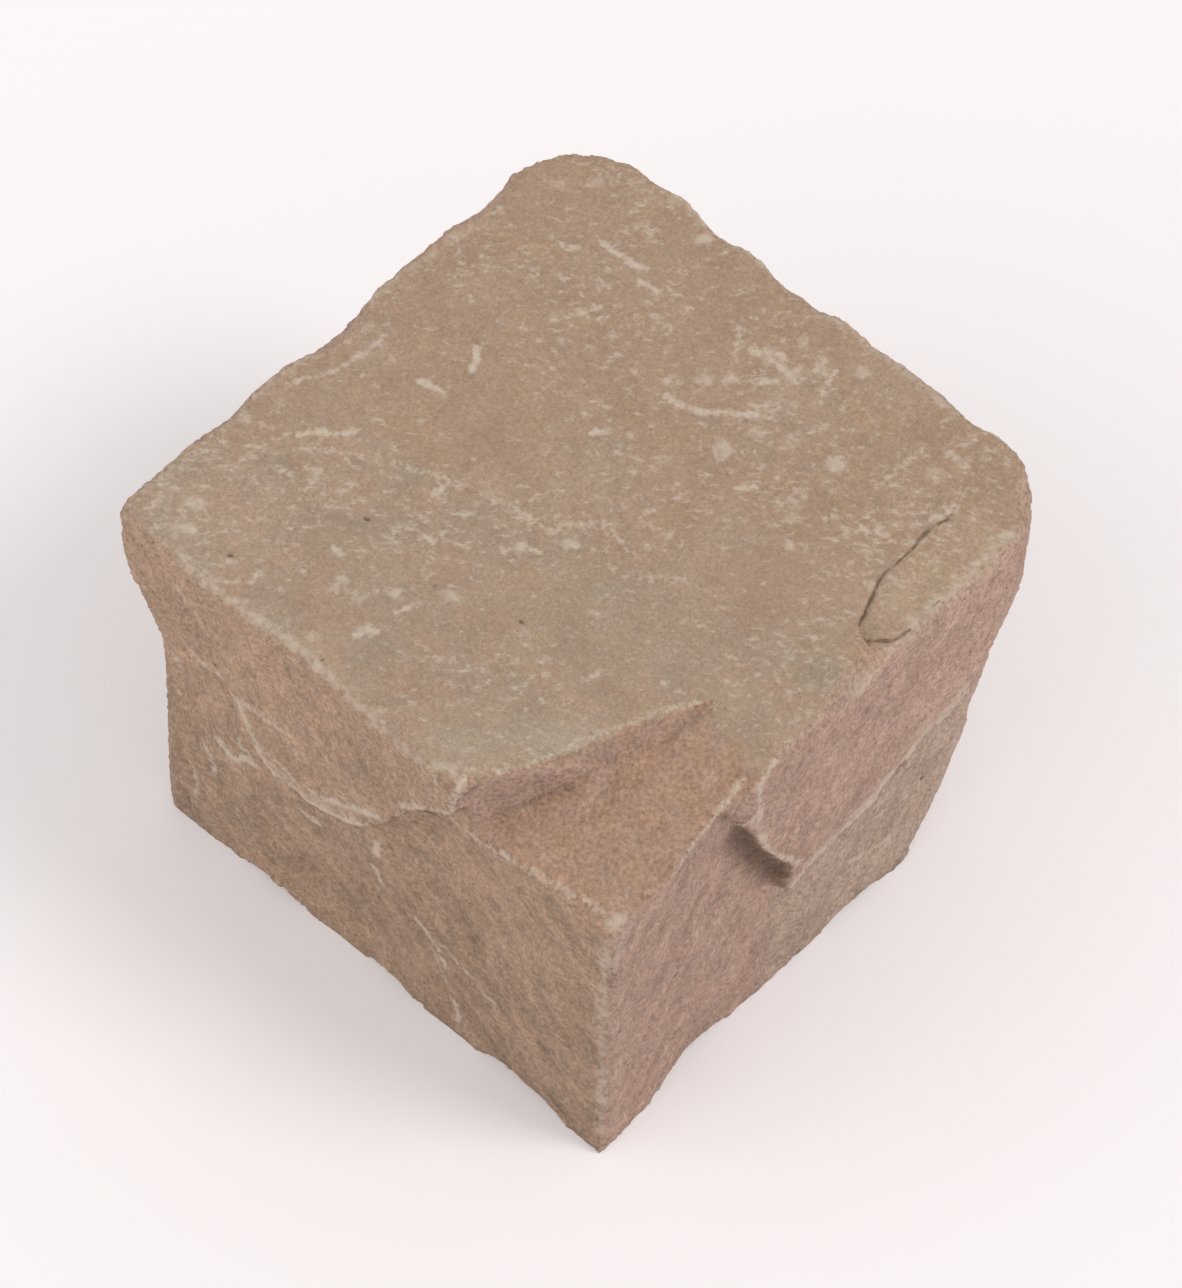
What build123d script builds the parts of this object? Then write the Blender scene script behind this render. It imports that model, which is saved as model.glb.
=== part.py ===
"""Hand-split sandstone sett, a paving stone of nominal 100 mm side and 80 mm depth.

The stone is shaped in the order in which a mason shapes it. A tapered block is split out along
four upright faces and its corners are worn round. Then flakes come off: the lower part of the
front and right faces, which leaves a ledge under the upper part of each, a flake down each
upright corner, and a spall that takes the top off the near corner. Thin laminae have lifted from
the tread, and small chips scallop every arris.

Frame: millimetres, +Z up, origin at the middle of the bounding box, on the bed face.
The front face looks along -Y, the right face along +X, and the near corner lies between them.
"""
import os
from dataclasses import dataclass
from math import atan2, cos, degrees, radians, sin

from build123d import *

# Driving dimensions of the block, from its axis.
DEPTH = 80.0                # bed face to tread
FRONT_REACH = 51.4          # upper part of the front face
RIGHT_REACH = 52.0
BACK_REACH = 52.4
LEFT_REACH = 52.5
ROUGH = 90.0                # half side of the rough block before it is split
NEAR_ROUND = 2.0            # radii of the four upright corners
RIGHT_ROUND = 14.0
FAR_ROUND = 16.5
LEFT_ROUND = 1.5
TREAD_WEAR = 1.1            # radius of the worn arris round the tread

# What is lost below the ledges of the two front sides.
FRONT_FLOOR = 48.7          # reach of the lower front face, under its ledge
RIGHT_FOOT_TOP = 49.4       # reach of the lower right face at the ledge
RIGHT_FOOT_BED = 45.9       # and at the bed
LEDGE_LEVEL = 44.0          # mean height of the ledge on the right face
UNDERCUT = 0.3              # rise of a ledge's underside for each millimetre it runs in


def bearing_vector(bearing: float, lean: float = 0.0) -> Vector:
    """Unit vector that looks along a compass bearing, in degrees from +X, tipped down by lean."""
    flat = cos(radians(lean))
    return Vector(flat * cos(radians(bearing)), flat * sin(radians(bearing)), -sin(radians(lean)))


@dataclass(frozen=True)
class SplitFace:
    """A flat face left by splitting: where it looks, how far out it is, and its batter."""

    bearing: float          # degrees from +X towards +Y
    reach: float            # distance from the stone's axis at the stated level
    level: float = DEPTH
    lean: float = 0.0       # degrees by which the face runs in on its way down

    def plane(self) -> Plane:
        """Plane of the face, with its normal pointing out of the stone."""
        flat = bearing_vector(self.bearing)
        origin = Vector(flat.X * self.reach, flat.Y * self.reach, self.level)
        return Plane(origin=origin, z_dir=bearing_vector(self.bearing, self.lean))

    def trim(self, stone: Part) -> Part:
        """Take away everything outside the face."""
        return split(stone, bisect_by=self.plane(), keep=Keep.BOTTOM)

    def outside(self, tool: Part) -> Part:
        """The part of a tool that lies outside the face."""
        return split(tool, bisect_by=self.plane(), keep=Keep.TOP)


def ball_outside(lowest: Vector, out: Vector, radius: float) -> Part:
    """Ball that touches one point from outside, with its seam and poles turned away from it."""
    side = Vector(1, 0, 0) if abs(out.Z) > 0.9 else Vector(0, 0, 1)
    return Plane(origin=lowest + out * radius, x_dir=out, z_dir=out.cross(side)) * Sphere(radius)


@dataclass(frozen=True)
class Scar:
    """A shallow conchoidal hollow: a ball of a given radius that bites into one spot."""

    spot: tuple[float, float, float]
    bearing: float
    lean: float             # negative looks up, as on a chipped arris of the tread
    radius: float
    bite: float

    def ball(self) -> Part:
        """The ball, standing outside the stone but for its bite."""
        out = bearing_vector(self.bearing, self.lean)
        return ball_outside(Vector(*self.spot) - out * self.bite, out, self.radius)


def region(plane: Plane, torn_edge: list[tuple[float, float]],
           straight_edge: list[tuple[float, float]]) -> Sketch:
    """Area on a face between a smoothly torn edge and straight runs outside the stone."""
    torn = Spline(*torn_edge)
    closing = Polyline(torn_edge[-1], *straight_edge, torn_edge[0])
    return plane * make_face(torn + closing)


def struck(area: Sketch, inward: Vector, half_run: float) -> Part:
    """Sweep an area both ways along a slanting direction, to make the edge of a flake."""
    start = Pos(-inward.X * half_run, -inward.Y * half_run, -inward.Z * half_run) * area
    return extrude(start, amount=2 * half_run * inward.length, dir=inward)


def split_block() -> Part:
    """The tapered block with its worn corners and the worn arris of its tread."""
    block = Pos(0, 0, DEPTH / 2) * Box(2 * ROUGH, 2 * ROUGH, DEPTH)
    front = SplitFace(bearing=-90.7, reach=FRONT_REACH, lean=0.0)
    right = SplitFace(bearing=0.0, reach=RIGHT_REACH, lean=2.0)
    back = SplitFace(bearing=91.1, reach=BACK_REACH, lean=3.2)
    left = SplitFace(bearing=179.6, reach=LEFT_REACH, lean=3.4)
    for face in (front, right, back, left):
        block = face.trim(block)
    for (side_x, side_y), radius in {(1, -1): NEAR_ROUND, (1, 1): RIGHT_ROUND,
                                     (-1, 1): FAR_ROUND, (-1, -1): LEFT_ROUND}.items():
        upright = [edge for edge in block.edges()
                   if abs(edge.bounding_box().size.Z - DEPTH) < 1.0
                   and edge.center().X * side_x > 0 and edge.center().Y * side_y > 0]
        block = fillet(upright, radius)
    tread = block.faces().sort_by(Axis.Z)[-1]
    return fillet(tread.edges(), TREAD_WEAR)


def front_flake() -> list[Part]:
    """What is lost under the tongue-shaped ledge of the front face, with the hollows of its floor."""
    ledge = [(-70.0, 65.0), (-44.5, 61.8), (-35.4, 58.6), (-29.5, 54.5), (-28.0, 47.5), (-25.0, 40.5),
             (-18.0, 39.6), (-10.0, 40.2), (-2.0, 44.4), (5.0, 52.0), (12.0, 63.5), (18.8, 70.0),
             (27.0, 90.0)]
    around = [(ROUGH, 90.0), (ROUGH, -10.0), (-ROUGH, -10.0), (-ROUGH, 65.0)]
    area = region(Plane.XZ.offset(FRONT_REACH), ledge, around)
    slab = struck(area, Vector(0, 1, UNDERCUT), 15.0)
    floor = SplitFace(bearing=-90.0, reach=FRONT_FLOOR, level=DEPTH / 2, lean=0.4)
    hollows = [
        Scar((-8.0, -FRONT_FLOOR, 18.0), -90.0, 2.0, 120.0, 1.5),
        Scar((26.0, -FRONT_FLOOR, 42.0), -93.0, -2.0, 110.0, 1.1),
        Scar((-36.0, -FRONT_FLOOR, 44.0), -97.0, 4.0, 70.0, 1.2),
    ]
    return [floor.outside(slab)] + [slab & hollow.ball() for hollow in hollows]


def right_foot() -> list[Part]:
    """What is lost under the ledge of the right face, over the foot that stands beside the notch."""
    ledge = [(-39.0, -14.0), (-31.0, 0.0), (-21.5, 12.0), (-14.0, 26.0), (-7.5, 33.2), (5.0, 36.6),
             (13.0, 39.5), (20.0, 43.6), (28.0, 43.0), (36.0, 38.0), (46.0, 31.0), (70.0, 24.0)]
    area = region(Plane.YZ.offset(RIGHT_FOOT_TOP), ledge, [(ROUGH, 24.0), (ROUGH, -14.0)])
    slab = struck(area, Vector(-1, 0, UNDERCUT), 15.0)
    foot_lean = degrees(atan2(RIGHT_FOOT_TOP - RIGHT_FOOT_BED, LEDGE_LEVEL))
    foot = SplitFace(bearing=0.0, reach=RIGHT_FOOT_TOP, level=LEDGE_LEVEL, lean=foot_lean)
    hollows = [
        Scar((RIGHT_FOOT_BED + 1.5, 22.0, 19.0), 2.0, 5.0, 90.0, 0.9),
        Scar((RIGHT_FOOT_BED + 2.1, -9.0, 26.0), 0.0, 4.5, 60.0, 1.2),
    ]
    return [foot.outside(slab)] + [slab & hollow.ball() for hollow in hollows]


def near_corner_flake() -> list[Part]:
    """The long flake down the near corner, which leaves a notch in the end of the right ledge."""
    notch = [(-30.0, 90.0), (-23.0, 74.0), (-17.8, 63.8), (-14.6, 55.2), (-9.6, 45.3), (-6.6, 38.0),
             (-9.5, 28.0), (-18.0, 12.0), (-27.0, -1.0), (-36.0, -14.0)]
    area = region(Plane.YZ.offset(RIGHT_REACH), notch, [(-ROUGH, -14.0), (-ROUGH, 90.0)])
    slab = struck(area, Vector(-1, -0.5, -0.2), 10.0)
    floor = SplitFace(bearing=4.3, reach=48.0, level=70.0, lean=2.7)
    hollows = [
        Scar((49.0, -26.0, 50.0), 6.0, 2.0, 80.0, 0.8),
        Scar((48.2, -14.5, 46.0), -6.0, 4.0, 26.0, 0.9),
    ]
    return [floor.outside(slab)] + [slab & hollow.ball() for hollow in hollows]


def corner_spall() -> list[Part]:
    """The spall that takes the top off the near corner: a riser that curls into a facet, and both ends."""
    riser = [(14.0, -62.0), (19.6, -50.0), (24.5, -43.2), (28.6, -33.8), (33.8, -21.1), (37.4, -12.7),
             (41.0, -4.0), (49.0, 8.0), (62.0, 22.0)]
    curl_level = DEPTH - 5.0
    steep, curled = Vector(-0.42, 0.19, 1.0), Vector(-0.9, 0.42, 1.0)
    area = region(Plane.XY.offset(DEPTH), riser, [(ROUGH, 22.0), (ROUGH, -ROUGH), (14.0, -ROUGH)])
    lowered = Pos(*(steep * (curl_level - DEPTH))) * area
    facet = ball_outside(Vector(40.0, -38.0, 69.2), Vector(-0.09, -0.27, 1.0).normalized(), 600.0)
    far_end = ball_outside(Vector(42.0, -16.0, 77.2), Vector(0.0, -0.45, 1.0).normalized(), 150.0)
    left_end = Pos(30.0, -46.0, 75.0) * Box(30.0, 34.0, 30.0)
    wall = Plane(origin=(20.0, -51.4, 74.0), z_dir=(0.85, -0.52, -0.03))
    slant = Plane(origin=(18.0, -48.7, 64.2), z_dir=(-0.15, -0.42, 0.9))
    for face in (wall, slant):
        left_end = split(left_end, bisect_by=face, keep=Keep.TOP)
    return [struck(area, steep, 25.0) & struck(lowered, curled, 30.0) & facet & far_end, left_end]


def corner_flakes(stone: Part) -> Part:
    """Strike the flakes off the right, left and far upright corners, which taper to the bed."""
    for bearing, reach, batter in ((20.0, 61.6, 9.8), (43.3, 68.0, 12.7), (66.0, 62.4, 9.2)):
        stone = SplitFace(bearing, reach, level=60.0, lean=batter).trim(stone)
    left_shelf = 45.5
    left_overhang = SplitFace(bearing=226.0, reach=73.5, level=74.5, lean=12.4)
    left_foot = SplitFace(bearing=227.0, reach=66.7, level=left_shelf, lean=1.0)
    above = Pos(0, 0, left_shelf + ROUGH / 2) * Box(2 * ROUGH, 2 * ROUGH, ROUGH)
    below = Pos(0, 0, left_shelf - ROUGH / 2) * Box(2 * ROUGH, 2 * ROUGH, ROUGH)
    stone = stone - left_overhang.outside(above) - left_foot.outside(below)
    right_shelf = 23.0
    over_shelf = Pos(0, 0, right_shelf + ROUGH / 2) * Box(2 * ROUGH, 2 * ROUGH, ROUGH)
    right_scar = Scar((44.0, 42.0, 33.0), 45.0, 10.0, 46.0, 1.6)
    stone = stone - (over_shelf & right_scar.ball())
    return SplitFace(bearing=137.0, reach=67.5, level=70.0, lean=6.0).trim(stone)


def tread_laminae() -> list[Part]:
    """Two thin laminae that have lifted: one over the front half, one by the right arris."""
    front_step = [(-46.0, -26.0), (-38.0, -22.0), (-30.0, -15.3), (-18.6, -8.4), (-2.3, -6.4), (4.5, -1.4),
                  (14.4, -4.0), (25.6, 2.3), (40.0, 4.3), (70.0, 2.0)]
    front_area = region(Plane.XY.offset(DEPTH - 4), front_step, [(70.0, -70.0), (-46.0, -70.0)])
    front_slab = extrude(front_area, amount=10.0)
    front_floor = Plane(origin=(-46.0, -26.0, DEPTH), z_dir=(0.0045, 0.004, 1.0))
    edge_crack = [(30.0, 62.0), (35.6, 50.6), (40.6, 39.8), (41.5, 28.0), (42.6, 18.0), (45.4, 12.8),
                  (56.0, 13.6)]
    edge_area = region(Plane.XY.offset(DEPTH - 4), edge_crack, [(70.0, 13.6), (70.0, 62.0)])
    edge_slab = extrude(edge_area, amount=10.0)
    edge_floor = Plane(origin=(41.0, 30.0, DEPTH - 0.7), z_dir=(0.03, 0.0, 1.0))
    return [split(front_slab, bisect_by=front_floor, keep=Keep.TOP),
            split(edge_slab, bisect_by=edge_floor, keep=Keep.TOP)]


def broad_scars() -> list[Scar]:
    """Shallow hollows that the splitting left on the upper front and right faces and at the back."""
    return [
        Scar((-12.0, -FRONT_REACH, 70.0), -90.0, -4.0, 60.0, 0.8),
        Scar((51.4, 14.0, 62.0), 0.0, 2.0, 150.0, 0.9),
        Scar((14.0, 49.6, 34.0), 90.0, 6.0, 110.0, 2.6),
        Scar((-22.0, 51.0, 56.0), 92.0, -4.0, 80.0, 1.5),
        Scar((-49.6, 14.0, 46.0), 180.0, 2.0, 120.0, 2.2),
        Scar((-48.6, -22.0, 24.0), 184.0, 8.0, 90.0, 2.0),
    ]


def arris_chips() -> list[Scar]:
    """Small chips along the arrises of the tread and of the bed."""
    top, bed = DEPTH, 0.0
    looking_up, looking_down = -40.0, 50.0
    return [
        Scar((-34.0, -51.8, top), -88.0, looking_up, 14.0, 1.3),
        Scar((-15.0, -51.6, top), -92.0, looking_up, 40.0, 1.6),
        Scar((5.0, -51.3, top), -88.0, looking_up, 32.0, 1.5),
        Scar((52.0, 4.0, top), 4.0, looking_up, 26.0, 2.6),
        Scar((52.0, 27.0, top), -4.0, looking_up, 15.0, 1.7),
        Scar((46.4, 46.4, top), 47.0, looking_up, 20.0, 1.0),
        Scar((30.0, 52.9, top), 88.0, looking_up, 18.0, 1.2),
        Scar((-1.0, 52.4, top), 93.0, looking_up, 12.0, 1.7),
        Scar((-7.5, 52.2, top), 90.0, looking_up, 10.0, 2.0),
        Scar((-21.5, 52.0, top), 86.0, looking_up, 8.0, 1.9),
        Scar((-35.0, 51.6, top), 95.0, looking_up, 20.0, 1.2),
        Scar((-52.4, 30.5, top), 181.0, looking_up, 14.0, 2.2),
        Scar((-52.4, -3.5, top), 178.0, looking_up, 18.0, 2.8),
        Scar((-52.4, -26.0, top), 183.0, looking_up, 15.0, 1.1),
        Scar((-51.5, -51.4, top), 225.0, looking_up, 12.0, 1.6),
        Scar((-22.0, -48.4, bed), -90.0, looking_down, 24.0, 1.6),
        Scar((2.0, -48.4, bed), -90.0, looking_down, 20.0, 1.2),
        Scar((30.0, -48.4, bed), -84.0, looking_down, 26.0, 2.2),
        Scar((46.0, -26.0, bed), 4.0, looking_down, 22.0, 2.0),
        Scar((46.0, 12.0, bed), 0.0, looking_down, 18.0, 1.8),
        Scar((16.0, 47.7, bed), 92.0, looking_down, 30.0, 2.8),
        Scar((-18.0, 47.7, bed), 88.0, looking_down, 22.0, 2.0),
        Scar((-47.2, 22.0, bed), 178.0, looking_down, 26.0, 2.4),
        Scar((-47.2, -14.0, bed), 184.0, looking_down, 20.0, 1.8),
    ]


def paving_stone() -> Part:
    """The whole sett, one solid, moved so that its box stands centred on the origin."""
    stone = split_block()
    stone = corner_flakes(stone)
    flakes = front_flake() + right_foot() + near_corner_flake() + corner_spall()
    for flake in flakes + tread_laminae():
        stone = stone - flake
    for scar in broad_scars() + arris_chips():
        stone = stone - scar.ball()
    box = stone.bounding_box()
    middle = box.center()
    return Pos(-middle.X, -middle.Y, -box.min.Z) * stone


def main() -> None:
    """Build the stone, report its size and write its file."""
    stone = paving_stone()
    box = stone.bounding_box()
    print(f"size {box.size.X:.2f} x {box.size.Y:.2f} x {box.size.Z:.2f} mm, volume {stone.volume:.0f} mm3")
    print(f"solids {len(stone.solids())}, faces {len(stone.faces())}, valid {stone.is_valid}")
    os.makedirs("parts", exist_ok=True)
    export_step(stone.solid(), "parts/paving_stone.step")


if __name__ == "__main__":
    main()
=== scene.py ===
"""Looks of a hand-split sandstone sett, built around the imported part.

The part gives the block's size and its main breaks. This script adds what the hammer and the stone's own
grain leave on it: chipped and bruised arrises, thin laminae, a crack, streaked split sides and the mottled
colours of a pinkish sandstone. Lengths are millimetres, apart from what is handed to Blender, in metres.
"""

from __future__ import annotations

import logging
import math
import random
from dataclasses import dataclass, field
from enum import Enum

import bmesh
import bpy
import numpy as np
from mathutils import Matrix, Vector, noise


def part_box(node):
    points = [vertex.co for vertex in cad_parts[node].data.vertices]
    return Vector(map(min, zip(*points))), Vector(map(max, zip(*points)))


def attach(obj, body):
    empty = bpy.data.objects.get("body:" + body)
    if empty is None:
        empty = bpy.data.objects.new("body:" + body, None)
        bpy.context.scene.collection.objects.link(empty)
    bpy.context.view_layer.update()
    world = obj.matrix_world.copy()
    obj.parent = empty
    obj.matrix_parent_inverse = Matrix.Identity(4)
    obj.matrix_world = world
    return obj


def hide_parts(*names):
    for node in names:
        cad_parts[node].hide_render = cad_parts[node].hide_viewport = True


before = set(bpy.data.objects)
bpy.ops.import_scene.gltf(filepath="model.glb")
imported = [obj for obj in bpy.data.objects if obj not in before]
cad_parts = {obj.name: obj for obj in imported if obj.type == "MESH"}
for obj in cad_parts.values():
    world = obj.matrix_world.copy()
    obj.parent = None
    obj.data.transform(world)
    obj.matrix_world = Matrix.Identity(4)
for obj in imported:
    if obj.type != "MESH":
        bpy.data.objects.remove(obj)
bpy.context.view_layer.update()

LOG = logging.getLogger("sett")
MM = 0.001
STONE = "paving_stone"
BODY = "root"
TREAD_LEVEL = 79.8
DOT_STEP = 0.3
RELIEF_SPREAD = 1.6

# Each noise field: the width of its largest waves, how many finer layers it has, and its seed.
SIDE_WAVES = (24.0, 2, 1.7)
TREAD_WAVES = (30.0, 3, 9.3)
FINE_GRAIN = (1.3, 2, 31.0)
ROSY_PATCHES = (13.0, 3, 40.0)
GREY_PATCHES = (9.0, 3, 41.0)
BUSY_PATCHES = (15.0, 3, 42.0)
MOTTLE = (2.6, 3, 43.0)
WARMTH = (3.4, 3, 44.0)
SIDE_LIGHT = (8.0, 2, 45.0)
TREAD_LIGHT = (6.0, 3, 46.0)

# The seam where the greyer near part of the tread ends, in x and y, and the right ledge, in y and z.
SEAM = ((-52.0, -31.0), (-39.5, -24.1), (-29.9, -16.0), (-18.1, -9.1), (-2.0, -7.2), (4.9, -1.8),
        (14.9, -4.7), (26.0, 1.6), (37.6, 3.6), (46.0, 8.0))
RIGHT_LEDGE = ((-12.0, 33.0), (-3.0, 34.5), (5.0, 36.7), (12.5, 39.6), (18.0, 42.7), (30.5, 46.4),
               (50.0, 34.0))

Point = tuple[float, float, float]
Colour = tuple[float, float, float, float]


def smooth_ramp(values: np.ndarray, low: float, high: float) -> np.ndarray:
    """Eases values from 0 at low to 1 at high.

    Args:
        values: The numbers to ease.
        low: The value that gives 0.
        high: The value that gives 1, which may be below low.

    Returns:
        The eased numbers, from 0 to 1.
    """
    share = np.clip((values - low) / (high - low), 0.0, 1.0)
    return share * share * (3.0 - 2.0 * share)


def linear(red: int, green: int, blue: int) -> Colour:
    """Turns a display colour into the linear one that a socket takes.

    Args:
        red: Display value from 0 to 255.
        green: Display value from 0 to 255.
        blue: Display value from 0 to 255.

    Returns:
        Linear red, green, blue and an alpha of 1.
    """
    channels = [((v / 255.0 + 0.055) / 1.055) ** 2.4 for v in (red, green, blue)]
    return (channels[0], channels[1], channels[2], 1.0)


def on_tread(*pairs: tuple[float, float]) -> tuple[Point, ...]:
    """Puts places given by their plan coordinates on the tread.

    Args:
        *pairs: The x and y of each place.

    Returns:
        The places in three axes. A single place comes back as a very short line.
    """
    if len(pairs) == 1:
        x, y = pairs[0]
        pairs = (pairs[0], (x + DOT_STEP, y + DOT_STEP))
    return tuple((x, y, TREAD_LEVEL) for x, y in pairs)


class Look(Enum):
    """How a mark shows: its column in the mesh's attribute, and how far out it fades."""

    PALE = (0, 2.0)
    DARK = (1, 1.4)
    BRUISE = (2, 3.0)

    @property
    def column(self) -> int:
        """The column that marks of this look are written to."""
        return self.value[0]

    @property
    def fade(self) -> float:
        """How far out marks of this look fade."""
        return self.value[1]


@dataclass(frozen=True)
class Mark:
    """A line on the stone's surface: a crack, a crisp pale edge or a broad bruise.

    Attributes:
        look: How the line shows.
        line: Its points on the surface.
        strength: How clear it is. Above 1 its full colour also reaches further out.
        height: How far it stands proud of the surface, or is sunk if it is below 0.
        width: Half the width of its relief.
        fade: How far out its colour fades, or None for its look's own distance.
    """

    look: Look
    line: tuple[Point, ...]
    strength: float = 1.0
    height: float = 0.0
    width: float = 0.6
    fade: float | None = None

    @property
    def reach(self) -> float:
        """How far from its line the mark changes anything."""
        return max(self.colour_reach, self.relief_reach)

    @property
    def colour_reach(self) -> float:
        """How far from its line its colour fades out."""
        return self.fade or self.look.fade

    @property
    def relief_reach(self) -> float:
        """How far from its line its relief runs out."""
        return self.width * RELIEF_SPREAD

    def distances(self, points: np.ndarray) -> np.ndarray:
        """Measures how far each point is from the line.

        Args:
            points: Places on the stone, one row each.

        Returns:
            One distance for each point.
        """
        nearest = np.full(len(points), np.inf)
        corners = np.array(self.line)
        for start, end in zip(corners, corners[1:]):
            run = end - start
            offset = points - start
            share = np.clip(offset @ run / (run @ run), 0.0, 1.0)
            nearest = np.minimum(nearest, np.linalg.norm(offset - share[:, None] * run, axis=1))
        return nearest

    def near(self, points: np.ndarray) -> tuple[np.ndarray, np.ndarray]:
        """Finds the points that the mark changes.

        Args:
            points: Places on the stone, one row each.

        Returns:
            Their numbers, and how far each of them is from the line.
        """
        corners = np.array(self.line)
        low, high = corners.min(axis=0) - self.reach, corners.max(axis=0) + self.reach
        boxed = np.flatnonzero(np.all((points > low) & (points < high), axis=1))
        away = self.distances(points[boxed])
        inside = away < self.reach
        return boxed[inside], away[inside]

    def colour_share(self, away: np.ndarray) -> np.ndarray:
        """How strongly the mark shows at each distance from its line, from 0 to 1."""
        return self.strength * np.clip(1.0 - away / self.colour_reach, 0.0, 1.0)


@dataclass(frozen=True)
class WornEdge:
    """An edge of the stone that wear has rounded.

    Attributes:
        line: Points along the edge.
        reach: How far to each side of it the rounding runs out.
        passes: How many times the surface is averaged there.
        core: The share of its reach in which the rounding is full.
    """

    line: tuple[Point, ...]
    reach: float
    passes: int
    core: float = 0.35


@dataclass(frozen=True)
class StainOrShade:
    """A soft patch of another colour. Most are stains of the stone's own; one is a painted shadow in the
    notch of the right side.

    Attributes:
        line: The points of its middle line on the surface.
        radius: How far out it fades.
        colour: Its colour.
        share: How much of that colour it takes in its middle.
        most_x: The greatest x that it reaches, so that a painted shadow can be kept inside a hollow of the
            right side.
        soft_end: Over what distance it ends there.
    """

    line: tuple[Point, ...]
    radius: float
    colour: Colour
    share: float
    most_x: float = 60.0
    soft_end: float = 0.6

    def share_at(self, points: np.ndarray) -> np.ndarray:
        """How much of its colour each point takes, from 0 to 1."""
        away = Mark(Look.BRUISE, self.line).distances(points)
        inside = smooth_ramp(points[:, 0], self.most_x + self.soft_end, self.most_x)
        return (1.0 - smooth_ramp(away, 0.0, self.radius)) * self.share * inside


WORN_EDGES = (
    WornEdge(((-40.0, -51.5, 79.5), (-20.0, -51.0, 79.8), (8.0, -51.3, 78.9), (18.0, -50.2, 79.8)), 2.6, 22),
    WornEdge(((50.5, 42.0, 79.0), (51.0, 31.5, 79.0), (50.6, 19.6, 79.0), (52.0, 12.0, 78.1),
              (52.2, 2.0, 76.5)), 4.6, 46),
    WornEdge(((50.4, -47.3, 67.9), (49.5, -49.5, 49.4), (49.1, -49.4, 30.0), (49.0, -49.4, 5.0)), 3.4, 44),
    WornEdge(((50.0, -22.0, 74.9), (46.0, -15.0, 77.2), (40.0, -9.0, 78.6)), 3.4, 30),
)
CRACKS = (
    Mark(Look.DARK, on_tread((35.6, 50.1), (38.0, 44.7), (42.0, 36.1)), 0.8, -0.25),
    Mark(Look.DARK, on_tread((42.0, 36.1), (40.8, 33.0), (41.5, 27.2), (41.7, 20.2), (43.1, 17.3),
                             (45.3, 12.1)), 0.93, -0.5, 0.4),
    Mark(Look.DARK, ((46.0, 9.9, 79.8), (49.1, 12.2, 79.1), (50.8, 13.6, 79.0), (51.2, 17.2, 79.0)),
         0.9, -0.4, 0.4),
    Mark(Look.DARK, ((50.4, 21.2, 79.0), (50.8, 24.4, 79.0)), 0.78, -0.3),
    Mark(Look.DARK, ((11.5, -49.4, 59.0), (14.5, -49.3, 60.9), (16.8, -49.2, 61.2)), 1.0, -0.6),
)
PITS = tuple(
    Mark(Look.DARK, line, strength, -0.3)
    for strength, line in (
        (1.0, on_tread((-22.9, -26.2))), (0.88, on_tread((-12.1, -20.0))), (0.95, on_tread((-33.3, -45.6))),
        (0.88, on_tread((-6.9, -27.8))), (1.0, on_tread((7.3, -23.4))), (0.88, on_tread((-36.8, 42.5))),
        (0.85, on_tread((11.1, 9.1))), (0.85, on_tread((-18.8, -8.2))), (0.85, on_tread((-10.1, -49.4))),
        (0.95, ((-41.9, -51.6, 61.4), (-41.6, -51.6, 60.6))),
        (1.0, ((47.2, 26.1, 21.8), (47.2, 26.4, 21.4))),
    )
)
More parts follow.
